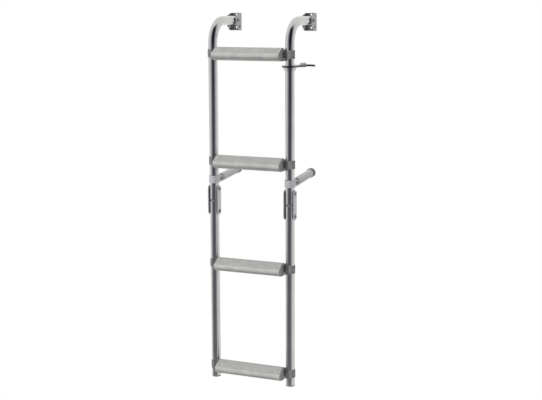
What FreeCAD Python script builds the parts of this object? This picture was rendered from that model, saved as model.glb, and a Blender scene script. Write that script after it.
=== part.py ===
import FreeCAD, Part
import math
import os

# Folding boarding ladder of bent stainless tube: four moulded treads, a hinge halfway
# down each stile, two hooked ends in wall brackets, two stand-off arms and a swing latch.
# Millimetres. X runs from the left stile to the right one and Z is up. The wall that
# carries the ladder is the plane Y = 0, and the ladder stands in front of it (-Y).
# The origin is on the back face of the left bracket, level with the hook's axis.

V = FreeCAD.Vector
ALONG_X = V(1, 0, 0)
ALONG_Y = V(0, 1, 0)
ALONG_Z = V(0, 0, 1)

# Tube and overall layout
TUBE_D = 25.0
TUBE_WALL = 1.5
STILE_PITCH = 225.0
HOOK_REACH = 150.0
BEND_RADIUS = 60.0
TREAD_1_DROP = 85.0
TREAD_PITCH = 290.0
MIDDLE_PITCH = 283.0
FOOT_DROP = 32.0

# How far a cutting shape passes the face that it cuts
OVERCUT = 1.0

# Tread section, measured forward from the stiles' plane and up from its middle
TREAD_HEIGHT = 35.0
TREAD_NOSE = 40.0
TREAD_BACK = 9.0
BACK_HEIGHT = 20.0
CREST_BACK = 9.0
CREST_FRONT = 15.0
NOSE_TOP = 2.5
NOSE_LOW = 12.5
BELLY_FRONT = 24.0
BELLY_BACK = 2.0
SECTION_ROUND = 5.0
TREAD_END_GAP = 3.0

# Tread ribs, pocket and fixings
GROOVE_COUNT = 6
GROOVE_WIDTH = 2.0
GROOVE_DEPTH = 1.0
GROOVE_PITCH = 4.6
SKIN = 3.5
END_WALL = 5.0
CROSS_RIBS = 5
RIB_THICK = 2.5
BOSS_D = 17.0
TREAD_BOLT_D = 8.0
TREAD_HEAD_D = 12.0
TREAD_HEAD = 1.0
TREAD_BOLT_GRIP = 25.0
BOLT_TIP_ROOM = 1.0
SPACER_D = 20.0
HEAD_BEVEL = 0.7

# Folding hinge: cheek plates and bolts
HINGE_DROP = 108.5
PIVOT_PITCH = 61.0
CHEEK_WIDTH = 20.0
CHEEK_THICK = 2.5
CHEEK_GAP = 0.4
STILE_BUTT_GAP = 2.0
END_SWING_GAP = 0.4
PIVOT_D = 8.0
PIVOT_HEAD_D = 11.5
PIVOT_HEAD = 2.2
RUNNING_FIT = 0.05

# Wall brackets
BRACKET_TOP = 20.0
BRACKET_BOTTOM = 28.0
BRACKET_THICK = 3.0
BRACKET_BEND = 4.0
BRACKET_PIN_SETBACK = 25.0
BRACKET_SIDE_GAP = 0.5
BRACKET_EYE_R = 14.0
BRACKET_TOP_LENGTH = 6.0
BRACKET_FOOT_LENGTH = 15.0
HOOK_STUB = 11.0
LOCK_HOLE_D = 8.0
LOCK_HOLE_BACK = 17.0
LOCK_HOLE_DROP = 17.0
SCREW_HOLE_D = 5.5
SCREW_ROW_TOP = 15.5
SCREW_PITCH = 35.0

# Stand-off arms
CLAMP_ABOVE_HINGE = 7.0
CLAMP_HEIGHT = 20.0
CLAMP_WALL = 2.0
STANDOFF_PIVOT_BACK = 30.0
STANDOFF_PIVOT_DROP = 2.0
EAR_THICK = 4.0
EAR_GAP = 8.0
EAR_R = 8.0
TONGUE_GAP = 0.3
TONGUE_R = 7.5
ARM_D = 22.0
ARM_WALL = 2.0
ARM_START = 16.0
ARM_PLUG = 18.0
ARM_RISE = 6.0
STANDOFF_PIN_D = 6.0
STANDOFF_HEAD_D = 10.0
STANDOFF_HEAD = 2.0
PAD_LENGTH = 12.0
PAD_D = 25.0
PAD_FLOOR = 5.0
PAD_ROUND = 3.0

# Swing latch on the right stile
LATCH_DROP = 31.5
LATCH_THICK = 5.0
LATCH_RING_R = 21.0
LATCH_FIT = 0.3
LATCH_LIP = 4.5
LATCH_SPINE = 4.5
LATCH_MOUTH = 9.0
LATCH_ROUND = 3.0
GRIP_GAP = 1.0
LATCH_PARKED = 60.0
LATCH_COLLAR_HEIGHT = 8.0
LATCH_COLLAR_WALL = 3.5
KNOB_OUT = 56.0
KNOB_LENGTH = 18.0
KNOB_HEIGHT = 5.0
KNOB_ROUND = 3.0

# Foot plugs
FOOT_FLANGE = 4.0
FOOT_PLUG = 18.0
FOOT_ROUND = 2.0
PLUG_FIT = 0.1

# Places that follow from the sizes above
TUBE_R = TUBE_D / 2
STILE_Y = -HOOK_REACH
TREAD_Z = [-TREAD_1_DROP, -TREAD_1_DROP - TREAD_PITCH]
TREAD_Z.append(TREAD_Z[1] - MIDDLE_PITCH)
TREAD_Z.append(TREAD_Z[2] - TREAD_PITCH)
FOOT_Z = TREAD_Z[3] - FOOT_DROP
HINGE_Z = TREAD_Z[1] - HINGE_DROP
UPPER_PIVOT_Z = HINGE_Z + PIVOT_PITCH / 2
LOWER_PIVOT_Z = HINGE_Z - PIVOT_PITCH / 2
UPPER_END_Z = HINGE_Z + STILE_BUTT_GAP / 2
LOWER_TOP_Z = HINGE_Z - STILE_BUTT_GAP / 2
END_SWING_R = (PIVOT_PITCH - END_SWING_GAP) / 2
CHEEK_TOP_Z = UPPER_PIVOT_Z + CHEEK_WIDTH / 2
CLAMP_Z = CHEEK_TOP_Z + CLAMP_ABOVE_HINGE + CLAMP_HEIGHT / 2
ARM_Z = CLAMP_Z - STANDOFF_PIVOT_DROP
ARM_PIVOT_Y = STILE_Y + STANDOFF_PIVOT_BACK
LATCH_Z = TREAD_Z[0] - LATCH_DROP
BRACKET_PIN_Y = -BRACKET_PIN_SETBACK
BRACKET_INSIDE = TUBE_R + BRACKET_SIDE_GAP
SIDES = {"left": 0.0, "right": STILE_PITCH}


def outward(side):
    """+1 or -1: the X direction that points away from the ladder's middle."""
    return -1.0 if side == "left" else 1.0


def rod(start, axis, radius, length):
    """A plain round bar from a point, along an axis."""
    return Part.makeCylinder(radius, length, start, axis)


def cross_rod(x0, x1, y, z, radius):
    """A round bar across the ladder, from one X to another."""
    return rod(V(min(x0, x1), y, z), ALONG_X, radius, abs(x1 - x0))


def block(x0, x1, y0, y1, z0, z1):
    """A box between two corners."""
    return Part.makeBox(x1 - x0, y1 - y0, z1 - z0, V(x0, y0, z0))


def prism_x(outline, x0, length):
    """A bar along +X with a closed outline of (y, z) corners."""
    corners = [V(x0, y, z) for y, z in outline]
    face = Part.Face(Part.makePolygon(corners + [corners[0]]))
    return face.extrude(V(length, 0, 0))


def turned(outline, base, axis):
    """A turned piece: an outline of (radius, height) corners spun about an axis."""
    corners = [V(r, 0, h) for r, h in outline]
    face = Part.Face(Part.makePolygon(corners + [corners[0]]))
    solid = face.revolve(V(0, 0, 0), ALONG_Z, 360)
    solid.Placement = FreeCAD.Placement(base, FreeCAD.Rotation(ALONG_Z, axis))
    return solid


def rounded(shape, axis, radius, chosen):
    """Round the straight edges along an axis whose middle passes the test."""
    picked = []
    for edge in shape.Edges:
        if not isinstance(edge.Curve, Part.Line):
            continue
        if abs(edge.Curve.Direction.dot(axis)) < 0.999:
            continue
        if chosen(edge.CenterOfMass):
            picked.append(edge)
    return shape.makeFillet(radius, picked)


def button(seat, axis, diameter, height):
    """A round bolt head with a bevelled rim, standing on its seat."""
    head = rod(seat, axis, diameter / 2, height)
    rim = [e for e in head.Edges if isinstance(e.Curve, Part.Circle)
           and (e.Curve.Center - seat).dot(axis) > height / 2]
    return head.makeChamfer(HEAD_BEVEL, rim)


def cross_bolt(side, y, z, half_grip, shank_d, head_d, head):
    """A pivot across a pair of plates: a shank with a low bevelled head at each end."""
    x = SIDES[side]
    shank = cross_rod(x - half_grip, x + half_grip, y, z, shank_d / 2)
    heads = [button(V(x + way * half_grip, y, z), V(way, 0, 0), head_d, head) for way in (-1, 1)]
    return shank.fuse(heads).removeSplitter()


# Stiles

def hook_path(x):
    """The upper stile's axis: up, round the bend and back into the bracket."""
    low = V(x, STILE_Y, UPPER_END_Z)
    bend_start = V(x, STILE_Y, -BEND_RADIUS)
    bend_end = V(x, STILE_Y + BEND_RADIUS, 0)
    end = V(x, BRACKET_PIN_Y + HOOK_STUB, 0)
    cut_corner = BEND_RADIUS * (1 - math.sqrt(0.5))
    bend_middle = V(x, STILE_Y + cut_corner, -cut_corner)
    return Part.Wire([
        Part.makeLine(low, bend_start),
        Part.Arc(bend_start, bend_middle, bend_end).toShape(),
        Part.makeLine(bend_end, end),
    ])


def bent_bar(x, radius):
    """A solid bar of one radius along the hook's path."""
    ring = Part.Wire(Part.makeCircle(radius, V(x, STILE_Y, UPPER_END_Z), ALONG_Z))
    return hook_path(x).makePipeShell([ring], True, False)


def drilled(tube, x, places):
    """A stile with a cross hole at each (y, z, diameter)."""
    reach = TUBE_R + OVERCUT
    return tube.cut([cross_rod(x - reach, x + reach, y, z, d / 2 + RUNNING_FIT)
                     for y, z, d in places])


def swing_corners(x, pivot_z, end_z):
    """What a stile's end loses at its corners, so that both halves can turn at once."""
    reach = TUBE_R + OVERCUT
    low = min(pivot_z, end_z - OVERCUT)
    high = max(pivot_z, end_z + OVERCUT)
    corners = block(x - reach, x + reach, STILE_Y - reach, STILE_Y + reach, low, high)
    return corners.cut(cross_rod(x - reach, x + reach, STILE_Y, pivot_z, END_SWING_R))


def upper_stile(side):
    """A stile's upper half: one bent tube, drilled for treads, hinge and bracket."""
    x = SIDES[side]
    tube = bent_bar(x, TUBE_R).cut(bent_bar(x, TUBE_R - TUBE_WALL))
    tube = tube.cut(swing_corners(x, UPPER_PIVOT_Z, UPPER_END_Z))
    places = [(STILE_Y, z, TREAD_BOLT_D) for z in TREAD_Z[:2]]
    places.append((STILE_Y, UPPER_PIVOT_Z, PIVOT_D))
    places.append((BRACKET_PIN_Y, 0, PIVOT_D))
    return drilled(tube, x, places)


def lower_stile(side):
    """A stile's lower half: a straight tube, drilled for treads and hinge."""
    x = SIDES[side]
    length = LOWER_TOP_Z - FOOT_Z
    foot = V(x, STILE_Y, FOOT_Z)
    tube = rod(foot, ALONG_Z, TUBE_R, length)
    tube = tube.cut(rod(foot, ALONG_Z, TUBE_R - TUBE_WALL, length))
    tube = tube.cut(swing_corners(x, LOWER_PIVOT_Z, LOWER_TOP_Z))
    places = [(STILE_Y, z, TREAD_BOLT_D) for z in TREAD_Z[2:]]
    places.append((STILE_Y, LOWER_PIVOT_Z, PIVOT_D))
    return drilled(tube, x, places)


def foot_plug(side):
    """The plastic plug in a stile's foot, with a rim as wide as the tube."""
    x = SIDES[side]
    core_r = TUBE_R - TUBE_WALL - PLUG_FIT
    base = V(x, STILE_Y, FOOT_Z - FOOT_FLANGE)
    outline = [
        (0, 0),
        (TUBE_R - FOOT_ROUND, 0),
        (TUBE_R, FOOT_ROUND),
        (TUBE_R, FOOT_FLANGE),
        (core_r, FOOT_FLANGE),
        (core_r, FOOT_FLANGE + FOOT_PLUG),
        (0, FOOT_FLANGE + FOOT_PLUG),
    ]
    return turned(outline, base, ALONG_Z)


# Treads

def tread_outline(z):
    """The tread's section as (y, z) corners: back, crest, slope, nose and belly."""
    half = TREAD_HEIGHT / 2
    forward_up = [
        (-TREAD_BACK, -BACK_HEIGHT / 2),
        (-TREAD_BACK, BACK_HEIGHT / 2),
        (CREST_BACK, half),
        (CREST_FRONT, half),
        (TREAD_NOSE, NOSE_TOP),
        (TREAD_NOSE, -NOSE_LOW),
        (BELLY_FRONT, -half),
        (-BELLY_BACK, -half),
    ]
    return [(STILE_Y - forward, z + up) for forward, up in forward_up]


def tread_grooves(x0, length, z):
    """Anti-slip grooves along the slope between the crest and the nose."""
    run = TREAD_NOSE - CREST_FRONT
    fall = TREAD_HEIGHT / 2 - NOSE_TOP
    slope = math.hypot(run, fall)
    tilt = math.degrees(math.atan2(fall, run))
    first = (slope - GROOVE_PITCH * (GROOVE_COUNT - 1)) / 2
    crest = V(x0, STILE_Y - CREST_FRONT, z + TREAD_HEIGHT / 2)
    cuts = []
    for i in range(GROOVE_COUNT):
        along = first + i * GROOVE_PITCH
        cut = Part.makeBox(length, GROOVE_WIDTH, 2 * GROOVE_DEPTH,
                           V(x0, crest.y - along - GROOVE_WIDTH / 2, crest.z - GROOVE_DEPTH))
        cut.rotate(crest, ALONG_X, tilt)
        cuts.append(cut)
    return cuts


def tread_pocket(x0, length, z):
    """The hollow under a tread, crossed by ribs and by a boss for each bolt."""
    half = TREAD_HEIGHT / 2
    slope = (half - NOSE_TOP) / (TREAD_NOSE - CREST_FRONT)
    front_top = half - slope * (BELLY_FRONT - CREST_FRONT) - SKIN - GROOVE_DEPTH
    back_top = half - SKIN - GROOVE_DEPTH
    forward_up = [
        (-BELLY_BACK, -half),
        (-BELLY_BACK, BACK_HEIGHT / 2 - GROOVE_DEPTH),
        (CREST_BACK, back_top),
        (CREST_FRONT, back_top),
        (BELLY_FRONT, front_top),
        (BELLY_FRONT, -half),
    ]
    outline = [(STILE_Y - forward, z + up) for forward, up in forward_up]
    inside = length - 2 * END_WALL
    pocket = prism_x(outline, x0 + END_WALL, inside)
    keep = []
    for i in range(CROSS_RIBS):
        middle = x0 + END_WALL + inside * (i + 1) / (CROSS_RIBS + 1)
        keep.append(block(middle - RIB_THICK / 2, middle + RIB_THICK / 2,
                          STILE_Y - TREAD_NOSE, STILE_Y + TREAD_BACK, z - half, z + half))
    boss = TREAD_BOLT_GRIP + BOLT_TIP_ROOM + SKIN
    for start in (x0, x0 + length - boss):
        keep.append(cross_rod(start, start + boss, STILE_Y, z, BOSS_D / 2))
    return pocket.cut(keep)


def tread(level):
    """A moulded tread: ribbed slope above, pocket below, a bolt hole in each end."""
    z = TREAD_Z[level]
    x0 = TUBE_R + TREAD_END_GAP
    length = STILE_PITCH - 2 * x0
    body = prism_x(tread_outline(z), x0, length)
    body = rounded(body, ALONG_X, SECTION_ROUND, lambda middle: True)
    hole_r = TREAD_BOLT_D / 2 + RUNNING_FIT
    depth = TREAD_BOLT_GRIP + BOLT_TIP_ROOM
    cuts = tread_grooves(x0, length, z)
    cuts.append(tread_pocket(x0, length, z))
    cuts.append(cross_rod(x0, x0 + depth, STILE_Y, z, hole_r))
    cuts.append(cross_rod(x0 + length - depth, x0 + length, STILE_Y, z, hole_r))
    return body.cut(cuts)


def tread_bolt(level, side):
    """A tread's bolt through its stile, with a hollowed head and spacer that fit the tube."""
    x = SIDES[side]
    out = outward(side)
    z = TREAD_Z[level]
    crest = x + out * TUBE_R
    inner = x - out * (TUBE_R + TREAD_END_GAP)
    head = button(V(x, STILE_Y, z), V(out, 0, 0), TREAD_HEAD_D, TUBE_R + TREAD_HEAD)
    spacer = cross_rod(x, inner, STILE_Y, z, SPACER_D / 2)
    tube = rod(V(x, STILE_Y, z - SPACER_D), ALONG_Z, TUBE_R, 2 * SPACER_D)
    shank = cross_rod(inner - out * TREAD_BOLT_GRIP, crest, STILE_Y, z, TREAD_BOLT_D / 2)
    return head.fuse(spacer).cut(tube).fuse(shank).removeSplitter()


# Folding hinge

def hinge_cheek(side, face):
    """One of the two plates that join a stile's halves, rounded about both bolts."""
    x = SIDES[side]
    out = outward(side) if face == "outer" else -outward(side)
    near = x + out * (TUBE_R + CHEEK_GAP)
    far = near + out * CHEEK_THICK
    half = CHEEK_WIDTH / 2
    pivots = (UPPER_PIVOT_Z, LOWER_PIVOT_Z)
    plate = block(min(near, far), max(near, far), STILE_Y - half, STILE_Y + half,
                  LOWER_PIVOT_Z, UPPER_PIVOT_Z)
    plate = plate.fuse([cross_rod(near, far, STILE_Y, z, half) for z in pivots])
    plate = plate.cut([cross_rod(near, far, STILE_Y, z, PIVOT_D / 2) for z in pivots])
    return plate.removeSplitter()


def hinge_bolt(side, z):
    """A hinge pivot bolt through both cheeks and the tube."""
    half_grip = TUBE_R + CHEEK_GAP + CHEEK_THICK
    return cross_bolt(side, STILE_Y, z, half_grip, PIVOT_D, PIVOT_HEAD_D, PIVOT_HEAD)


# Wall brackets

def touching(corner, turn):
    """Where a line from a (y, z) corner touches the eye round the bracket's bolt."""
    across = BRACKET_PIN_Y - corner[0]
    up = -corner[1]
    distance = math.hypot(across, up)
    angle = math.atan2(up, across) + turn * math.asin(BRACKET_EYE_R / distance)
    length = math.sqrt(distance ** 2 - BRACKET_EYE_R ** 2)
    return (corner[0] + length * math.cos(angle), corner[1] + length * math.sin(angle))


def bracket(side):
    """A wall bracket bent from one sheet: a back and two cheeks rounded about the bolt."""
    x = SIDES[side]
    outside = BRACKET_INSIDE + BRACKET_THICK
    heel = (-BRACKET_FOOT_LENGTH, -BRACKET_BOTTOM)
    brow = (-BRACKET_TOP_LENGTH, BRACKET_TOP)
    outline = [(0, -BRACKET_BOTTOM), heel, touching(heel, 1), touching(brow, -1), brow,
               (0, BRACKET_TOP)]
    body = prism_x(outline, x - outside, 2 * outside)
    body = body.fuse(cross_rod(x - outside, x + outside, BRACKET_PIN_Y, 0, BRACKET_EYE_R))
    body = rounded(body.removeSplitter(), ALONG_Z, BRACKET_BEND, lambda middle: True)
    hollow = block(x - BRACKET_INSIDE, x + BRACKET_INSIDE, BRACKET_PIN_Y - BRACKET_EYE_R,
                   -BRACKET_THICK, -BRACKET_BOTTOM - OVERCUT, BRACKET_TOP + OVERCUT)
    hollow = rounded(hollow, ALONG_Z, BRACKET_BEND - BRACKET_THICK,
                     lambda middle: middle.y > BRACKET_PIN_Y)
    cuts = [hollow]
    cuts.append(cross_rod(x - outside, x + outside, BRACKET_PIN_Y, 0, PIVOT_D / 2))
    cuts.append(cross_rod(x - outside, x + outside, -LOCK_HOLE_BACK, -LOCK_HOLE_DROP,
                          LOCK_HOLE_D / 2))
    for z in (SCREW_ROW_TOP, SCREW_ROW_TOP - SCREW_PITCH):
        cuts.append(rod(V(x, -BRACKET_THICK, z), ALONG_Y, SCREW_HOLE_D / 2, BRACKET_THICK))
    return body.cut(cuts).removeSplitter()


def bracket_pin(side):
    """The bolt that the hook turns on in its bracket."""
    half_grip = BRACKET_INSIDE + BRACKET_THICK
    return cross_bolt(side, BRACKET_PIN_Y, 0, half_grip, PIVOT_D, PIVOT_HEAD_D, PIVOT_HEAD)


# Stand-off arms

def standoff_clamp(side):
    """The band round the stile, with two ears for the arm's pivot."""
    x = SIDES[side]
    low = V(x, STILE_Y, CLAMP_Z - CLAMP_HEIGHT / 2)
    outer_r = TUBE_R + CLAMP_WALL
    band = rod(low, ALONG_Z, outer_r, CLAMP_HEIGHT)
    ears = []
    for x0 in (x - EAR_GAP / 2 - EAR_THICK, x + EAR_GAP / 2):
        ears.append(block(x0, x0 + EAR_THICK, STILE_Y, ARM_PIVOT_Y, ARM_Z - EAR_R, ARM_Z + EAR_R))
        ears.append(cross_rod(x0, x0 + EAR_THICK, ARM_PIVOT_Y, ARM_Z, EAR_R))
    bore = rod(low, ALONG_Z, TUBE_R, CLAMP_HEIGHT)
    pin_hole = cross_rod(x - outer_r, x + outer_r, ARM_PIVOT_Y, ARM_Z, STANDOFF_PIN_D / 2)
    return band.fuse(ears).cut([bore, pin_hole]).removeSplitter()


def standoff_pin(side):
    """The small bolt that a stand-off arm folds about."""
    half_grip = EAR_GAP / 2 + EAR_THICK
    return cross_bolt(side, ARM_PIVOT_Y, ARM_Z, half_grip, STANDOFF_PIN_D, STANDOFF_HEAD_D,
                      STANDOFF_HEAD)


def raised(side, shape):
    """Turn an arm piece about its pivot to the slight rise that it stands at."""
    shape.rotate(V(SIDES[side], ARM_PIVOT_Y, ARM_Z), ALONG_X, ARM_RISE)
    return shape


def standoff_arm(side):
    """An arm: a tube with a plugged root whose tongue turns on the pivot."""
    x = SIDES[side]
    root = ARM_PIVOT_Y + ARM_START
    length = -PAD_FLOOR - root
    tube = rod(V(x, root, ARM_Z), ALONG_Y, ARM_D / 2, length)
    bore = rod(V(x, root + ARM_PLUG, ARM_Z), ALONG_Y, ARM_D / 2 - ARM_WALL, length - ARM_PLUG)
    half = EAR_GAP / 2 - TONGUE_GAP
    tongue = block(x - half, x + half, ARM_PIVOT_Y, root + OVERCUT, ARM_Z - TONGUE_R, ARM_Z + TONGUE_R)
    eye = cross_rod(x - half, x + half, ARM_PIVOT_Y, ARM_Z, TONGUE_R)
    pin_hole = cross_rod(x - half, x + half, ARM_PIVOT_Y, ARM_Z, STANDOFF_PIN_D / 2 + RUNNING_FIT)
    return raised(side, tube.cut(bore).fuse([tongue, eye]).cut(pin_hole).removeSplitter())


def standoff_pad(side):
    """A rubber cap pushed over the arm's end, with a face that bears flat on the wall."""
    x = SIDES[side]
    spare = PAD_D * math.tan(math.radians(ARM_RISE))
    outline = [
        (0, 0),
        (PAD_D / 2 - PAD_ROUND, 0),
        (PAD_D / 2, PAD_ROUND),
        (PAD_D / 2, PAD_LENGTH + spare),
        (ARM_D / 2, PAD_LENGTH + spare),
        (ARM_D / 2, PAD_FLOOR + spare),
        (0, PAD_FLOOR + spare),
    ]
    cap = raised(side, turned(outline, V(x, spare, ARM_Z), -ALONG_Y))
    return cap.cut(block(x - PAD_D, x + PAD_D, 0, PAD_D, ARM_Z - PAD_D, ARM_Z + 2 * PAD_D))


# Swing latch, modelled pointing along +X and then turned to its parked place

def parked(shape):
    """Turn a latch piece about the right stile to where it rests."""
    shape.rotate(V(SIDES["right"], STILE_Y, LATCH_Z), ALONG_Z, LATCH_PARKED)
    return shape


def latch_plate():
    """A flat hook round the right stile, whose notch takes in the folded lower stile."""
    x = SIDES["right"]
    low = LATCH_Z - LATCH_THICK / 2
    centre = V(x, STILE_Y, low)
    grip_r = TUBE_R + GRIP_GAP
    tip = x + PIVOT_PITCH + grip_r + LATCH_LIP
    arm = block(x, tip, STILE_Y - LATCH_MOUTH, STILE_Y + grip_r + LATCH_SPINE,
                low, low + LATCH_THICK)
    arm = rounded(arm, ALONG_Z, LATCH_ROUND, lambda middle: middle.x > tip - OVERCUT)
    ring = rod(centre, ALONG_Z, LATCH_RING_R, LATCH_THICK)
    bore = rod(centre, ALONG_Z, TUBE_R + LATCH_FIT, LATCH_THICK)
    notch = rod(V(x + PIVOT_PITCH, STILE_Y, low), ALONG_Z, grip_r, LATCH_THICK)
    mouth = block(x + PIVOT_PITCH - grip_r, x + PIVOT_PITCH + grip_r,
                  STILE_Y - LATCH_MOUTH, STILE_Y, low, low + LATCH_THICK)
    return parked(arm.fuse(ring).cut([bore, notch, mouth]).removeSplitter())


def latch_knob():
    """The low finger lug welded along the latch's spine."""
    x = SIDES["right"] + KNOB_OUT
    near = STILE_Y + TUBE_R + GRIP_GAP
    top = LATCH_Z + LATCH_THICK / 2
    lug = block(x - KNOB_LENGTH / 2, x + KNOB_LENGTH / 2, near, near + LATCH_SPINE,
                top, top + KNOB_HEIGHT)
    lug = rounded(lug, ALONG_Y, KNOB_ROUND, lambda middle: middle.z > top + OVERCUT)
    return parked(lug)


def latch_collar():
    """The ring clamped on the stile that the latch turns on."""
    x = SIDES["right"]
    base = V(x, STILE_Y, LATCH_Z - LATCH_THICK / 2 - LATCH_FIT - LATCH_COLLAR_HEIGHT)
    ring = rod(base, ALONG_Z, TUBE_R + LATCH_COLLAR_WALL, LATCH_COLLAR_HEIGHT)
    return ring.cut(rod(base, ALONG_Z, TUBE_R, LATCH_COLLAR_HEIGHT))


# One STEP file per piece

def save(name, shape):
    shape.exportStep("parts/" + name + ".step")


os.makedirs("parts", exist_ok=True)
for side in SIDES:
    save("bracket_" + side, bracket(side))
    save("bracket_pin_" + side, bracket_pin(side))
    save("upper_stile_" + side, upper_stile(side))
    save("lower_stile_" + side, lower_stile(side))
    save("foot_plug_" + side, foot_plug(side))
    save("standoff_clamp_" + side, standoff_clamp(side))
    save("standoff_pin_" + side, standoff_pin(side))
    save("standoff_arm_" + side, standoff_arm(side))
    save("standoff_pad_" + side, standoff_pad(side))
    save("hinge_bolt_upper_" + side, hinge_bolt(side, UPPER_PIVOT_Z))
    save("hinge_bolt_lower_" + side, hinge_bolt(side, LOWER_PIVOT_Z))
    save("hinge_cheek_" + side + "_outer", hinge_cheek(side, "outer"))
    save("hinge_cheek_" + side + "_inner", hinge_cheek(side, "inner"))
    for level in range(len(TREAD_Z)):
        save("tread_bolt_" + str(level + 1) + "_" + side, tread_bolt(level, side))
for level in range(len(TREAD_Z)):
    save("tread_" + str(level + 1), tread(level))
save("latch_plate", latch_plate())
save("latch_knob", latch_knob())
save("latch_collar", latch_collar())
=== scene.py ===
import math

import bmesh
import bpy
from mathutils import Matrix, Vector


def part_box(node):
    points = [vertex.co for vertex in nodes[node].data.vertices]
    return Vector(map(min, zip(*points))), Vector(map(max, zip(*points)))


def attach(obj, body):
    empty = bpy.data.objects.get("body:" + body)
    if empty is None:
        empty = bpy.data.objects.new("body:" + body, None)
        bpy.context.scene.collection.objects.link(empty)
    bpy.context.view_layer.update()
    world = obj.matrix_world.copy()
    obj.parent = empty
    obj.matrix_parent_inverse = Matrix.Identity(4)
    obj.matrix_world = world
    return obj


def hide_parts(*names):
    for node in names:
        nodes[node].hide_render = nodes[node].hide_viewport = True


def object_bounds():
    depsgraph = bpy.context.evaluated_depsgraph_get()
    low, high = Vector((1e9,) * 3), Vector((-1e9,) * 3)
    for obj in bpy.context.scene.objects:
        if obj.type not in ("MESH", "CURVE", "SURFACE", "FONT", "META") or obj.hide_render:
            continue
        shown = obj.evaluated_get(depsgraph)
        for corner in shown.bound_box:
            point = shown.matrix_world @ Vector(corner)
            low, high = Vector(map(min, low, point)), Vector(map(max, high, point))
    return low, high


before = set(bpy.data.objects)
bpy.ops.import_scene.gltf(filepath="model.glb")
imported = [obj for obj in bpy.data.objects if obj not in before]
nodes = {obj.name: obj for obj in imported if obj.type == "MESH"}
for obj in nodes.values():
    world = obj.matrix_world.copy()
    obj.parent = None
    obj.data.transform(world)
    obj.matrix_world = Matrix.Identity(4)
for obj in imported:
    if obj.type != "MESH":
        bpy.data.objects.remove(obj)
cad_low, cad_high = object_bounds()
scene = bpy.context.scene

# The camera stands in front and to the right of the ladder, a little above its top tread,
# and looks slightly down, as in the photograph. Its place is given from the middle of the
# top tread, on the plane of the two stiles.
IMAGE_WIDTH = 542
SENSOR_WIDTH = 36.0
FOCAL_PIXELS = 1218.0
CAMERA_YAW = math.radians(24.32)
CAMERA_PITCH = math.radians(9.48)
CAMERA_ROLL = math.radians(0.24)
CAMERA_FROM_TREAD = Vector((1.383, -2.934, 0.149))
CAMERA_SEES = 60

tread_low, tread_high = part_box("tread_1")
stile_low, stile_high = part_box("lower_stile_left")
top_tread = Vector(((tread_low.x + tread_high.x) / 2, (stile_low.y + stile_high.y) / 2,
                    (tread_low.z + tread_high.z) / 2))
camera_data = bpy.data.cameras.new("photo_camera")
camera_data.sensor_width = SENSOR_WIDTH
camera_data.lens = FOCAL_PIXELS / IMAGE_WIDTH * SENSOR_WIDTH
camera_data.clip_end = CAMERA_SEES
camera = bpy.data.objects.new("photo_camera", camera_data)
scene.collection.objects.link(camera)
camera.matrix_world = (Matrix.Translation(top_tread + CAMERA_FROM_TREAD)
                       @ Matrix.Rotation(CAMERA_YAW, 4, "Z")
                       @ Matrix.Rotation(math.pi / 2 - CAMERA_PITCH, 4, "X")
                       @ Matrix.Rotation(-CAMERA_ROLL, 4, "Z"))
scene.camera = camera
scene.view_settings.view_transform = "Standard"


class Value:
    """A shader socket that takes part in Python sums, adding the Math nodes they need."""

    def __init__(self, tree, socket):
        self.tree = tree
        self.socket = socket

    def math(self, operation, *others):
        node = self.tree.nodes.new("ShaderNodeMath")
        node.operation = operation
        for place, value in enumerate((self, *others)):
            if isinstance(value, Value):
                self.tree.links.new(value.socket, node.inputs[place])
            else:
                node.inputs[place].default_value = value
        return Value(self.tree, node.outputs[0])

    def __add__(self, other):
        return self.math("ADD", other)

    __radd__ = __add__

    def __mul__(self, other):
        return self.math("MULTIPLY", other)

    __rmul__ = __mul__

    def __sub__(self, other):
        return self.math("SUBTRACT", other)

    def __rsub__(self, other):
        return self.math("MULTIPLY_ADD", -1, other)

    def __truediv__(self, other):
        return self.math("DIVIDE", other)

    def __pow__(self, other):
        return self.math("POWER", other)

    def clamped(self):
        return self.math("MAXIMUM", 0).math("MINIMUM", 1)


class Shader:
    """A node tree that is filled node by node."""

    def __init__(self, tree):
        self.tree = tree
        tree.nodes.clear()

    def node(self, kind, settings=None, inputs=None):
        """Adds one node: its settings first, then a value or a link for each named socket."""
        node = self.tree.nodes.new("ShaderNode" + kind)
        for name, value in (settings or {}).items():
            if name == "stops":
                ramp = node.color_ramp
                while len(ramp.elements) < len(value):
                    ramp.elements.new(1)
                for element, (place, colour) in zip(ramp.elements, value):
                    element.position = place
                    element.color = (*colour, 1)
            else:
                setattr(node, name, value)
        for name, value in (inputs or {}).items():
            socket = node.inputs[name]
            if isinstance(value, Value):
                self.tree.links.new(value.socket, socket)
            elif socket.type == "RGBA":
                socket.default_value = (*value, 1)
            else:
                socket.default_value = value
        return node

    def out(self, node, name=0):
        return Value(self.tree, node.outputs[name])


# The studio: a white surround that the camera sees as plain white. Polished metal sees the
# same white behind, beside and above the ladder, and the darker room behind the camera,
# which gives the tubes their dark stripe. The dark end of the room is wider high up and low
# down, and low down it lies further to the camera's left and is lit from the floor.
HIGH_ROOM_TURN = math.radians(7)
LOW_ROOM_TURN = math.radians(-30)
LOW_STARTS, LOW_ENDS = 0.05, 0.27
LOW_ROOM_WIDER = 0.05
HIGH_ROOM_WIDER = 0.08
SMALLEST_LEVEL_LENGTH = 0.0001
world = bpy.data.worlds.new("studio")
scene.world = world
world.use_nodes = True
room = Shader(world.node_tree)
direction = room.out(room.node("TexCoord"), "Generated")
height = room.out(room.node("SeparateXYZ", None, {"Vector": direction}), "Z")
level_length = (1 - height * height).math("MAXIMUM", SMALLEST_LEVEL_LENGTH) ** 0.5


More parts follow.
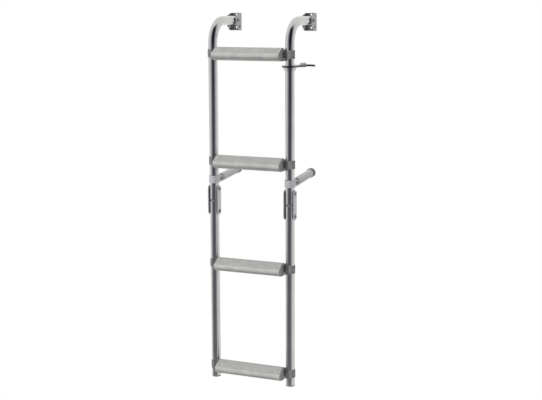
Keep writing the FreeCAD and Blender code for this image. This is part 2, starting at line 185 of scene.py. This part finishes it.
def towards(turn):
    """How squarely a direction points at the dark end of the room, from -1 to 1."""
    yaw = CAMERA_YAW + turn
    squarely = room.node("VectorMath", {"operation": "DOT_PRODUCT"}, {
        0: direction, 1: (math.sin(yaw), -math.cos(yaw), 0.0)})
    return room.out(squarely, "Value") / level_length


lowness = ((height + LOW_STARTS) * (-1 / (LOW_ENDS - LOW_STARTS))).clamped()
facing = towards(HIGH_ROOM_TURN) * (1 - lowness) + towards(LOW_ROOM_TURN) * lowness
room_tones = room.node("ValToRGB", {"stops": [
    (0.50, (1.0, 1.0, 1.0)), (0.67, (0.86, 0.86, 0.90)), (0.84, (0.46, 0.46, 0.52)),
    (0.93, (0.17, 0.17, 0.21)), (0.985, (0.018, 0.018, 0.024))]},
    {"Fac": facing * 0.5 + 0.5 + lowness * LOW_ROOM_WIDER
     + height.clamped() * HIGH_ROOM_WIDER})
from_below = room.node("ValToRGB", {"stops": [
    (0.0, (0.0, 0.0, 0.0)), (0.07, (0.06, 0.06, 0.072)), (0.19, (0.14, 0.14, 0.16)),
    (0.28, (0.20, 0.20, 0.22))]}, {"Fac": height * -1})
lit_room = room.node("Mix", {"data_type": "RGBA", "blend_type": "LIGHTEN"}, {
    0: 1.0, 6: room.out(room_tones, "Color"), 7: room.out(from_below, "Color")})
CEILING_STARTS, CEILING_FADE = 0.93, 20.0
CEILING_COLOUR = (1.0, 0.97, 0.93)
WHITE = (1.0, 1.0, 1.0)
AMBIENT = 0.30
ceiling = room.node("Mix", {"data_type": "RGBA"}, {
    0: ((height - CEILING_STARTS) * CEILING_FADE).clamped(), 6: room.out(lit_room, 2),
    7: CEILING_COLOUR})
path = room.node("LightPath")
ambient = room.node("Background", None, {"Color": WHITE, "Strength": AMBIENT})
mirrored = room.node("Background", None, {"Color": room.out(ceiling, 2), "Strength": 1.0})
white = room.node("Background", None, {"Color": WHITE, "Strength": 1.0})
soft = room.node("MixShader", None, {
    "Fac": room.out(path, "Is Glossy Ray"), 1: room.out(ambient), 2: room.out(mirrored)})
whole = room.node("MixShader", None, {
    "Fac": room.out(path, "Is Camera Ray"), 1: room.out(soft), 2: room.out(white)})
room.node("OutputWorld", None, {"Surface": room.out(whole)})

# The floor: a pale sheet that keeps the ladder's faint shadow, and two soft lamps in front
# and one overhead that give the shape.
FLOOR_DROP = 0.30
FLOOR_RADIUS = 0.8
FLOOR_SEGMENTS = 96
FLOOR_PAINT = (0.86, 0.86, 0.86)
FLOOR_GLOW = 0.6
floor_mesh = bmesh.new()
bmesh.ops.create_circle(floor_mesh, cap_ends=True, segments=FLOOR_SEGMENTS, radius=FLOOR_RADIUS,
                        matrix=Matrix.Translation((top_tread.x, top_tread.y,
                                                   cad_low[2] - FLOOR_DROP)))
floor_data = bpy.data.meshes.new("floor")
floor_mesh.to_mesh(floor_data)
floor_mesh.free()
floor = bpy.data.objects.new("floor", floor_data)
scene.collection.objects.link(floor)
floor_material = bpy.data.materials.new("pale floor")
floor_material.use_nodes = True
paint = Shader(floor_material.node_tree)
paint_path = paint.node("LightPath")
shown = paint.out(paint_path, "Is Camera Ray") + paint.out(paint_path, "Is Glossy Ray")
matte = paint.node("BsdfDiffuse", None, {"Color": FLOOR_PAINT})
glow = paint.node("Emission", None, {"Color": WHITE, "Strength": FLOOR_GLOW})
lifted = paint.node("AddShader", None, {0: paint.out(matte), 1: paint.out(glow)})
both = paint.node("MixShader", None, {
    "Fac": shown.clamped(), 1: paint.out(matte), 2: paint.out(lifted)})
paint.node("OutputMaterial", None, {"Surface": paint.out(both)})
floor_data.materials.append(floor_material)

# Each lamp's name, place, width in metres and power in watts.
LAMPS = (("key", (-1.8, -2.4, 1.2), 2.2, 34.0),
         ("low front", (0.4, -2.9, -0.6), 1.8, 33.0),
         ("overhead", (0.4, 0.5, 2.2), 1.8, 20.0))
LAMPS_AIM_HEIGHT = -0.45
for name, place, size, power in LAMPS:
    lamp_data = bpy.data.lights.new(name, "AREA")
    lamp_data.shape = "SQUARE"
    lamp_data.size = size
    lamp_data.energy = power
    lamp = bpy.data.objects.new(name, lamp_data)
    scene.collection.objects.link(lamp)
    lamp.visible_glossy = False
    aim = Vector((top_tread.x, top_tread.y, LAMPS_AIM_HEIGHT)) - Vector(place)
    lamp.matrix_world = (Matrix.Translation(place)
                         @ aim.to_track_quat("-Z", "Y").to_matrix().to_4x4())


# The stiles: 25 mm stainless tube, cold bent into a hook at the top and mechanically
# polished along its length, so that it mirrors the room with a fine lengthwise grain and
# the odd dull patch where water has dried.
STAIN_TONE = 0.93
MARKS_ROUGHEN, STAINS_ROUGHEN = 0.10, 0.08


def steel(name, colour, dull, grain, marks_depth, edge, bright=1.0):
    """A stainless finish: fine marks along one direction, dried stains and eased edges."""
    material = bpy.data.materials.new(name)
    material.use_nodes = True
    metal = Shader(material.node_tree)
    place = metal.out(metal.node("TexCoord"), "Object")
    along = metal.node("Mapping", None, {"Vector": place, "Scale": grain})
    marks = metal.out(metal.node("TexNoise", None, {
        "Vector": metal.out(along), "Scale": 1.0, "Detail": 4.0, "Roughness": 0.65}))
    stains = metal.out(metal.node("TexNoise", None, {
        "Vector": place, "Scale": 24.0, "Detail": 5.0, "Roughness": 0.55}))
    tint = metal.node("ValToRGB", {"stops": [
        (0.35, tuple(STAIN_TONE * part for part in colour)), (0.62, colour)]}, {"Fac": stains})
    eased = metal.node("Bevel", {"samples": 4}, {"Radius": edge})
    relief = metal.node("Bump", None, {"Strength": 1.0, "Distance": marks_depth,
                                       "Height": marks, "Normal": metal.out(eased)})
    roughness = dull + (marks - 0.5) * MARKS_ROUGHEN + (stains - 0.5) * STAINS_ROUGHEN
    surface = metal.node("BsdfPrincipled", None, {
        "Base Color": metal.out(tint, "Color"), "Metallic": bright,
        "Roughness": roughness.clamped(), "Normal": metal.out(relief)})
    metal.node("OutputMaterial", None, {"Surface": metal.out(surface)})
    return material


def dress(material, *names):
    """Gives a material to CAD pieces, by the start of their names."""
    for node_name, piece in nodes.items():
        if node_name.startswith(names):
            piece.data.materials.clear()
            piece.data.materials.append(material)


polished_tube = steel("polished tube", (0.58, 0.57, 0.56), 0.13, (700.0, 700.0, 9.0),
                      0.000004, 0.0003)
dress(polished_tube, "upper_stile", "lower_stile")

# The wall brackets: each is one piece of 3 mm stainless sheet, laser cut and bent into a
# channel whose cheeks are rounded about the bolt. The sheet keeps its brushed mill grain,
# and its cut edges are eased with a file.
brushed_sheet = steel("brushed sheet", (0.38, 0.38, 0.38), 0.32, (900.0, 40.0, 900.0),
                      0.000006, 0.0006, bright=0.7)
dress(brushed_sheet, "bracket_left", "bracket_right")

# The bolts: low stainless heads with a hexagon socket, one at each end of a plain shank.
# They are turned bars, screwed together from both sides, so that nothing stands proud to
# catch a foot. They hold the hooks in the brackets and the hinge plates on the tubes.
HEAD_STEPS = ((1.00, 0.40), (0.97, 0.62), (0.90, 0.81), (0.78, 0.94), (0.62, 1.00))
SOCKET_SHARE = 0.42
SOCKET_DEPTH_SHARE = 0.70
ROUND_SEGMENTS = 48
SIXTH_TURN = math.pi / 3
SHARP_ANGLE = math.radians(32)


def edge_ring(made):
    """The corners and edges at the far side of an extruded ring."""
    corners = [part for part in made if isinstance(part, bmesh.types.BMVert)]
    edges = [part for part in made if isinstance(part, bmesh.types.BMEdge)
             and part.verts[0] in corners and part.verts[1] in corners]
    return corners, edges


def socket_head(mesh, seat, out, radius, height):
    """Adds a low domed head with a hexagon socket that faces +X or -X."""
    head = bmesh.new()
    bmesh.ops.create_circle(head, segments=ROUND_SEGMENTS, radius=radius)
    ring = head.edges[:]
    bmesh.ops.edgeloop_fill(head, edges=ring)
    share, level = 1.0, 0.0
    for next_share, next_level in HEAD_STEPS:
        corners, ring = edge_ring(bmesh.ops.extrude_edge_only(head, edges=ring)["geom"])
        bmesh.ops.scale(head, verts=corners,
                        vec=(next_share / share, next_share / share, 1.0))
        bmesh.ops.translate(head, verts=corners, vec=(0, 0, (next_level - level) * height))
        share, level = next_share, next_level
    corners, ring = edge_ring(bmesh.ops.extrude_edge_only(head, edges=ring)["geom"])
    for corner in corners:
        turn = math.atan2(corner.co.y, corner.co.x) % SIXTH_TURN - SIXTH_TURN / 2
        corner.co.xy = corner.co.xy.normalized() * radius * SOCKET_SHARE / math.cos(turn)
    corners, ring = edge_ring(bmesh.ops.extrude_edge_only(head, edges=ring)["geom"])
    bmesh.ops.translate(head, verts=corners, vec=(0, 0, -height * SOCKET_DEPTH_SHARE))
    bmesh.ops.edgeloop_fill(head, edges=ring)
    bmesh.ops.transform(head, verts=head.verts,
                        matrix=Matrix.Translation(seat)
                        @ Matrix.Rotation(out * math.pi / 2, 4, "Y"))
    head_data = bpy.data.meshes.new("head")
    head.to_mesh(head_data)
    head.free()
    mesh.from_mesh(head_data)
    bpy.data.meshes.remove(head_data)


def cross_bar(mesh, x0, x1, y, z, radius):
    """Adds a round bar across the ladder."""
    bmesh.ops.create_cone(mesh, cap_ends=True, segments=ROUND_SEGMENTS,
                          radius1=radius, radius2=radius, depth=abs(x1 - x0),
                          matrix=Matrix.Translation(((x0 + x1) / 2, y, z))
                          @ Matrix.Rotation(math.pi / 2, 4, "Y"))


def add_piece(name, mesh, material, slot, body, *stands_for):
    """Makes a named piece of a mesh, on its body, in place of the CAD nodes it stands for."""
    bmesh.ops.recalc_face_normals(mesh, faces=mesh.faces)
    data = bpy.data.meshes.new(name)
    mesh.to_mesh(data)
    mesh.free()
    data.shade_smooth()
    data.set_sharp_from_angle(angle=SHARP_ANGLE)
    data.materials.append(material)
    piece = bpy.data.objects.new(name, data)
    scene.collection.objects.link(piece)
    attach(piece, body)
    if stands_for:
        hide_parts(*stands_for)


bolt_steel = steel("bolt steel", (0.30, 0.30, 0.31), 0.26, (60.0, 1400.0, 1400.0),
                   0.000003, 0.0002)
HEAD_HEIGHTS = {"bracket_pin": 0.0022, "hinge_bolt_upper": 0.0022, "hinge_bolt_lower": 0.0022,
                "standoff_pin": 0.0020}
SHANK_RADII = {"bracket_pin": 0.0040, "hinge_bolt_upper": 0.0040, "hinge_bolt_lower": 0.0040,
               "standoff_pin": 0.0030}
BOLT_BODIES = {"bracket_pin": "brackets", "hinge_bolt_upper": "hinge_links",
               "hinge_bolt_lower": "hinge_links", "standoff_pin": "upper_section"}
SIDES = ("left", "right")
for kind, height in HEAD_HEIGHTS.items():
    for side in SIDES:
        node = kind + "_" + side
        low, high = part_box(node)
        middle = (Vector(low) + Vector(high)) / 2
        bolt = bmesh.new()
        cross_bar(bolt, low[0] + height, high[0] - height, middle.y, middle.z,
                  SHANK_RADII[kind])
        for out, seat_x in ((-1, low[0] + height), (1, high[0] - height)):
            socket_head(bolt, (seat_x, middle.y, middle.z), out,
                        (high[1] - low[1]) / 2, height)
        add_piece(node + "_socket_bolt", bolt, bolt_steel, "bolt_steel",
                  BOLT_BODIES[kind], node)

# The treads' own bolts: each runs through the stile into the end of its tread. Its head
# bears on the outside of the tube, and a turned steel spacer, which the bolt clamps, fills
# the gap between tube and tread.
TREAD_LEVELS = (1, 2, 3, 4)
UPPER_TREADS = 2
OUTWARD = {"left": -1, "right": 1}
TREAD_HEAD_RADIUS = 0.006
TREAD_HEAD_HEIGHT = 0.0026
SPACER_RADIUS = 0.010
SPACER_SHOWS = 0.0081
BOLT_RADIUS = 0.004
SPACER_EDGE, SPACER_EDGE_STEPS = 0.0006, 2


def section_of(level):
    """The half of the ladder that carries a tread and its fittings."""
    return "upper_section" if level <= UPPER_TREADS else "lower_section"


for level in TREAD_LEVELS:
    for side, out in OUTWARD.items():
        node = "tread_bolt_" + str(level) + "_" + side
        low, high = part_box(node)
        tread_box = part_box("tread_" + str(level))
        middle = (Vector(low) + Vector(high)) / 2
        outer_x, inner_x = (low[0], high[0]) if side == "left" else (high[0], low[0])
        spacer_x = tread_box[0][0] if side == "left" else tread_box[1][0]
        bolt = bmesh.new()
        cross_bar(bolt, spacer_x + out * SPACER_SHOWS, spacer_x, middle.y, middle.z,
                  SPACER_RADIUS)
        rim = [edge for edge in bolt.edges
               if all(abs(corner.co.x - spacer_x) < SPACER_EDGE for corner in edge.verts)]
        bmesh.ops.bevel(bolt, geom=rim, offset=SPACER_EDGE, segments=SPACER_EDGE_STEPS,
                        affect="EDGES", profile=0.5, material=-1)
        cross_bar(bolt, outer_x - out * TREAD_HEAD_HEIGHT, inner_x, middle.y, middle.z,
                  BOLT_RADIUS)
        socket_head(bolt, (outer_x - out * TREAD_HEAD_HEIGHT, middle.y, middle.z), out,
                    TREAD_HEAD_RADIUS, TREAD_HEAD_HEIGHT)
        add_piece(node + "_socket_bolt", bolt, bolt_steel, "bolt_steel",
                  section_of(level), node)

# The folding hinge: on each side of each stile a plate of 2.5 mm stainless with round
# ends, pressed and tumbled so that its edges are soft. Two bolts run through both plates
# and the tube between them.
PLATE_EDGE, PLATE_EDGE_STEPS = 0.0007, 3
PLATE_SEGMENTS = 64
ON_MIDDLE_LINE = 0.00007
tumbled_plate = steel("tumbled plate", (0.60, 0.60, 0.61), 0.42, (500.0, 500.0, 60.0),
                      0.000005, 0.0002, bright=0.6)
for side in SIDES:
    for face in ("outer", "inner"):
        node = "hinge_cheek_" + side + "_" + face
        low, high = (Vector(end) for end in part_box(node))
        half_width = (high.y - low.y) / 2
        reach = (high.z - low.z) / 2 - half_width
        plate = bmesh.new()
        bmesh.ops.create_circle(plate, cap_ends=True, segments=PLATE_SEGMENTS, radius=half_width,
                                matrix=Matrix.Rotation(math.pi / 2, 4, "Y"))
        for corner in plate.verts:
            if abs(corner.co.z) > ON_MIDDLE_LINE:
                corner.co.z += math.copysign(reach, corner.co.z)
        made = bmesh.ops.extrude_face_region(plate, geom=plate.faces[:])["geom"]
        bmesh.ops.translate(plate, vec=(high.x - low.x, 0, 0),
                            verts=[part for part in made
                                   if isinstance(part, bmesh.types.BMVert)])
        rims = [edge for edge in plate.edges
                if abs(edge.verts[0].co.x - edge.verts[1].co.x) < PLATE_EDGE]
        bmesh.ops.bevel(plate, geom=rims, offset=PLATE_EDGE, segments=PLATE_EDGE_STEPS,
                        affect="EDGES", profile=0.5, material=-1)
        bmesh.ops.translate(plate, verts=plate.verts,
                            vec=(low.x, (low.y + high.y) / 2, (low.z + high.z) / 2))
        add_piece(node + "_plate", plate, tumbled_plate, "formed_steel", "hinge_links", node)

# Plastic plugs close the cut ends of both tubes at the hinge, so that no water runs in.
# Each is moulded in light grey, its face rounded about its own bolt, so that it clears the
# other half as the ladder folds.
PLUG_SWING = 0.0302
PLUG_LENGTH = 0.008
TUBE_BORE = 0.011
FACE_CUTS = 12
end_plug_plastic = bpy.data.materials.new("end plug plastic")
end_plug_plastic.use_nodes = True
plugs = Shader(end_plug_plastic.node_tree)
plug_place = plugs.out(plugs.node("TexCoord"), "Object")
plug_cloud = plugs.out(plugs.node("TexNoise", None, {
    "Vector": plug_place, "Scale": 220.0, "Detail": 4.0, "Roughness": 0.6}))
plug_tone = plugs.node("ValToRGB", {"stops": [
    (0.30, (0.49, 0.49, 0.50)), (0.70, (0.60, 0.60, 0.61))]}, {"Fac": plug_cloud})
plug_relief = plugs.node("Bump", None, {
    "Strength": 0.4, "Distance": 0.00006, "Height": plug_cloud})
plug_surface = plugs.node("BsdfPrincipled", None, {
    "Base Color": plugs.out(plug_tone, "Color"), "Roughness": 0.45 + plug_cloud * 0.2,
    "Normal": plugs.out(plug_relief)})
plugs.node("OutputMaterial", None, {"Surface": plugs.out(plug_surface)})
for side in SIDES:
    for half, body, way in (("upper", "upper_section", -1), ("lower", "lower_section", 1)):
        pivot_low, pivot_high = (Vector(end)
                                 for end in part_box("hinge_bolt_" + half + "_" + side))
        plug_middle = PLUG_SWING - PLUG_LENGTH / 2
        plug = bmesh.new()
        bmesh.ops.create_cone(plug, cap_ends=True, segments=ROUND_SEGMENTS,
                              radius1=TUBE_BORE, radius2=TUBE_BORE, depth=PLUG_LENGTH,
                              matrix=Matrix.Translation((0, 0, way * plug_middle)))
        for cut in range(1, FACE_CUTS):
            bmesh.ops.bisect_plane(plug, geom=plug.verts[:] + plug.edges[:] + plug.faces[:],
                                   plane_co=(0, TUBE_BORE * (2 * cut / FACE_CUTS - 1), 0),
                                   plane_no=(0, 1, 0))
        for corner in plug.verts:
            if corner.co.z * way > plug_middle:
                corner.co.z = way * math.sqrt(PLUG_SWING ** 2 - corner.co.y ** 2)
        bmesh.ops.translate(plug, verts=plug.verts, vec=(pivot_low + pivot_high) / 2)
        add_piece("hinge_end_plug_" + half + "_" + side, plug, end_plug_plastic,
                  "arm_plastic", body)

# The treads: grey glass-filled plastic, injection moulded in one piece with a ribbed slope
# for the foot. The mould's surface is slightly sparked and unevenly scuffed by feet. The top
# of the nose carries a painted highlight and its lower edge a painted shade, and the grooves
# on the slope are darkened with dirt and painted shade.
GROOVE_FIRST, GROOVE_STEP, GROOVE_HALF = 0.01764, 0.003944, 0.00086
SLOPE_TILT = 0.6
NOSE_TILT = -0.5
NOSE_TURNS, NOSE_FADE = -0.0035, 0.0045
# The grooves are darkened by dirt and painted shade, the nose's lower edge by painted shade, and
# the nose's top is lightened by a painted highlight.
GROOVE_DIRT_AND_SHADE, NOSE_PAINTED_SHADE = 0.85, 0.8
NOSE_PAINTED_HIGHLIGHT = 0.22


def tread_plastic(name, middle):
    """The treads' moulded plastic, with the painted highlight and painted shade of its nose at
    the height of one tread.
    """
    material = bpy.data.materials.new(name)
    material.use_nodes = True
    mould = Shader(material.node_tree)
    place = mould.out(mould.node("TexCoord"), "Object")
    spark = mould.out(mould.node("TexNoise", None, {
        "Vector": place, "Scale": 1400.0, "Detail": 2.0, "Roughness": 0.5}))
    scuffs = mould.out(mould.node("TexNoise", None, {
        "Vector": place, "Scale": 45.0, "Detail": 6.0, "Roughness": 0.62}))
    parts = mould.node("SeparateXYZ", None, {"Vector": place})
    lie = mould.node("SeparateXYZ", None, {
        "Vector": mould.out(mould.node("TexCoord"), "Normal")})
    forward = mould.out(parts, "Y") * -1 + (top_tread.y - GROOVE_FIRST)
    in_step = (forward * (1 / GROOVE_STEP) + 0.5).math("FRACT") - 0.5
    groove = (GROOVE_HALF / GROOVE_STEP - in_step.math("ABSOLUTE")).math("SIGN").clamped()
    on_slope = ((mould.out(lie, "Z") - SLOPE_TILT).math("SIGN").clamped()
                * (forward + GROOVE_STEP / 2).math("SIGN").clamped())
    on_nose = (NOSE_TILT - mould.out(lie, "Y")).math("SIGN").clamped()
    # Painted shade on the nose below its middle and a painted highlight above it; dirt and
    # painted shade in the grooves of the slope.
    below = (middle + NOSE_TURNS - mould.out(parts, "Z")) * (1 / NOSE_FADE)
    dirt_and_painted_shade = groove * on_slope * GROOVE_DIRT_AND_SHADE + below.clamped() * on_nose * NOSE_PAINTED_SHADE
    painted_highlight = (below * -1).clamped() * on_nose * NOSE_PAINTED_HIGHLIGHT
    tone = mould.node("ValToRGB", {"stops": [
        (0.0, (0.22, 0.22, 0.21)), (0.30, (0.47, 0.47, 0.45)), (0.52, (0.53, 0.53, 0.51)),
        (0.80, (0.62, 0.62, 0.60))]}, {"Fac": scuffs * (1 - dirt_and_painted_shade) + painted_highlight})
    relief = mould.node("Bump", None, {
        "Strength": 0.6, "Distance": 0.00008, "Height": spark + scuffs * 0.6})
    surface = mould.node("BsdfPrincipled", None, {
        "Base Color": mould.out(tone, "Color"), "Roughness": 0.62 - scuffs * 0.16,
        "Specular IOR Level": 0.35, "Normal": mould.out(relief)})
    mould.node("OutputMaterial", None, {"Surface": mould.out(surface)})
    return material


for level in TREAD_LEVELS:
    node = "tread_" + str(level)
    low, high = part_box(node)
    dress(tread_plastic("ribbed tread plastic " + str(level), (low[2] + high[2]) / 2), node)

# The stand-off arms: a sleeve of pale moulded plastic that folds up on a small bolt. Its
# root is a slightly darker plug with the tongue that turns between the clamp's ears, and a
# rubber cap on its end bears on the wall.
ARM_RISE = math.radians(6)
ARM_ROOT = 0.0155
arms = bpy.data.materials.new("arm sleeve")
arms.use_nodes = True
sleeve = Shader(arms.node_tree)
arm_place = sleeve.out(sleeve.node("TexCoord"), "Object")
arm_cloud = sleeve.out(sleeve.node("TexNoise", None, {
    "Vector": arm_place, "Scale": 60.0, "Detail": 5.0, "Roughness": 0.6}))
arm_fine = sleeve.out(sleeve.node("TexNoise", None, {
    "Vector": arm_place, "Scale": 1600.0, "Detail": 2.0, "Roughness": 0.5}))
arm_parts = sleeve.node("SeparateXYZ", None, {"Vector": arm_place})
pivot_low, pivot_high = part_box("standoff_pin_left")
arm_pivot = (Vector(pivot_low) + Vector(pivot_high)) / 2
along_arm = ((sleeve.out(arm_parts, "Y") - arm_pivot.y) * math.cos(ARM_RISE)
             + (sleeve.out(arm_parts, "Z") - arm_pivot.z) * math.sin(ARM_RISE))
past_root = (along_arm - ARM_ROOT).math("SIGN").clamped()
arm_tone = sleeve.node("ValToRGB", {"stops": [
    (0.10, (0.34, 0.34, 0.34)), (0.30, (0.42, 0.42, 0.42)), (0.58, (0.68, 0.68, 0.665)),
    (0.80, (0.76, 0.76, 0.745))]}, {"Fac": past_root * 0.5 + arm_cloud * 0.4})
arm_relief = sleeve.node("Bump", None, {
    "Strength": 0.5, "Distance": 0.00005, "Height": arm_fine})
arm_surface = sleeve.node("BsdfPrincipled", None, {
    "Base Color": sleeve.out(arm_tone, "Color"), "Roughness": 0.52 - arm_cloud * 0.14,
    "Normal": sleeve.out(arm_relief)})
sleeve.node("OutputMaterial", None, {"Surface": sleeve.out(arm_surface)})
dress(arms, "standoff_arm")

# The arms' clamps: stainless investment castings with two ears, blasted with glass beads to
# a pale satin, so that they don't mirror the room as the tube does.
satin_casting = steel("satin casting", (0.62, 0.62, 0.64), 0.48, (160.0, 160.0, 160.0),
                      0.00003, 0.0008, bright=0.35)
dress(satin_casting, "standoff_clamp")

# Rubber and soft plastic: the caps on the arms' ends and the plugs in the stiles' feet,
# moulded in dark grey, dusty with use.
rubber = bpy.data.materials.new("dusty rubber")
rubber.use_nodes = True
soft_part = Shader(rubber.node_tree)
rubber_place = soft_part.out(soft_part.node("TexCoord"), "Object")
dust = soft_part.out(soft_part.node("TexNoise", None, {
    "Vector": rubber_place, "Scale": 320.0, "Detail": 6.0, "Roughness": 0.7}))
rubber_tone = soft_part.node("ValToRGB", {"stops": [
    (0.30, (0.20, 0.20, 0.205)), (0.75, (0.31, 0.31, 0.31))]}, {"Fac": dust})
rubber_relief = soft_part.node("Bump", None, {
    "Strength": 0.5, "Distance": 0.00012, "Height": dust})
rubber_surface = soft_part.node("BsdfPrincipled", None, {
    "Base Color": soft_part.out(rubber_tone, "Color"), "Roughness": 0.62 + dust * 0.25,
    "Normal": soft_part.out(rubber_relief)})
soft_part.node("OutputMaterial", None, {"Surface": soft_part.out(rubber_surface)})
dress(rubber, "standoff_pad", "foot_plug")

# The saddles: under the outer head of each tread's bolt lies a shell of dark grey nylon,
# moulded to fit nearly half round the tube, which spreads the bolt's pull over its thin wall.
# Its dark grey is partly painted shade, standing for the shade the tread casts on the stile.
SADDLE_WALL = 0.0012
SADDLE_HEIGHT = 0.022
SADDLE_EDGE, SADDLE_EDGE_STEPS = 0.0004, 2
SHARPER_THAN = math.radians(57)
SADDLE_WRAP = math.radians(164)
SADDLE_STEPS = 32
tube_radius = (stile_high.x - stile_low.x) / 2
for level in TREAD_LEVELS:
    for side, out in OUTWARD.items():
        bolt_low, bolt_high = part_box("tread_bolt_" + str(level) + "_" + side)
        stile_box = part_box("lower_stile_" + side)
        axis = Vector(((stile_box[0][0] + stile_box[1][0]) / 2, top_tread.y,
                       (bolt_low[2] + bolt_high[2]) / 2))
        saddle = bmesh.new()
        bmesh.ops.create_grid(saddle, x_segments=1, y_segments=1, size=0.5,
                              matrix=Matrix.Rotation(math.pi / 2, 4, "Y"))
        bmesh.ops.scale(saddle, verts=saddle.verts, vec=(1.0, SADDLE_WALL, SADDLE_HEIGHT))
        bmesh.ops.translate(saddle, verts=saddle.verts,
                            vec=(0, -tube_radius - SADDLE_WALL / 2, 0))
        bmesh.ops.rotate(saddle, verts=saddle.verts, cent=(0, 0, 0),
                         matrix=Matrix.Rotation(out * (math.pi - SADDLE_WRAP) / 2, 3, "Z"))
        bmesh.ops.spin(saddle, geom=saddle.verts[:] + saddle.edges[:] + saddle.faces[:],
                       cent=(0, 0, 0), axis=(0, 0, 1), angle=out * SADDLE_WRAP,
                       steps=SADDLE_STEPS)
        bmesh.ops.recalc_face_normals(saddle, faces=saddle.faces)
        rims = [edge for edge in saddle.edges if edge.calc_face_angle(0) > SHARPER_THAN]
        bmesh.ops.bevel(saddle, geom=rims, offset=SADDLE_EDGE, segments=SADDLE_EDGE_STEPS,
                        affect="EDGES", profile=0.5, material=-1)
        bmesh.ops.translate(saddle, verts=saddle.verts, vec=axis)
        # The saddles take the dark rubber, whose dark tone here is partly painted shade.
        add_piece("tread_saddle_" + str(level) + "_" + side, saddle, rubber, "dark_rubber",
                  section_of(level))

# The swing latch: a flat stainless hook with a dark oxide finish and a low ground lug for
# the finger. It turns on the collar below it, which a grub screw pinches to the tube.
dark_plate = steel("dark latch plate", (0.17, 0.17, 0.18), 0.30, (60.0, 60.0, 700.0),
                   0.000006, 0.0005)
dress(dark_plate, "latch_plate")
ground_lug = steel("ground lug", (0.55, 0.55, 0.55), 0.26, (160.0, 160.0, 160.0),
                   0.00003, 0.0008)
dress(ground_lug, "latch_knob")
turned_collar = steel("turned collar", (0.62, 0.62, 0.61), 0.18, (80.0, 80.0, 1500.0),
                      0.000004, 0.0005)
dress(turned_collar, "latch_collar")
GRUB_RADIUS = 0.0026
GRUB_HEIGHT = 0.0010
collar_low, collar_high = (Vector(end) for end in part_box("latch_collar"))
grub = bmesh.new()
socket_head(grub, (collar_high.x - GRUB_HEIGHT, (collar_low.y + collar_high.y) / 2,
                   (collar_low.z + collar_high.z) / 2), 1, GRUB_RADIUS, GRUB_HEIGHT)
add_piece("latch_collar_grub_screw", grub, bolt_steel, "bolt_steel", "upper_section")
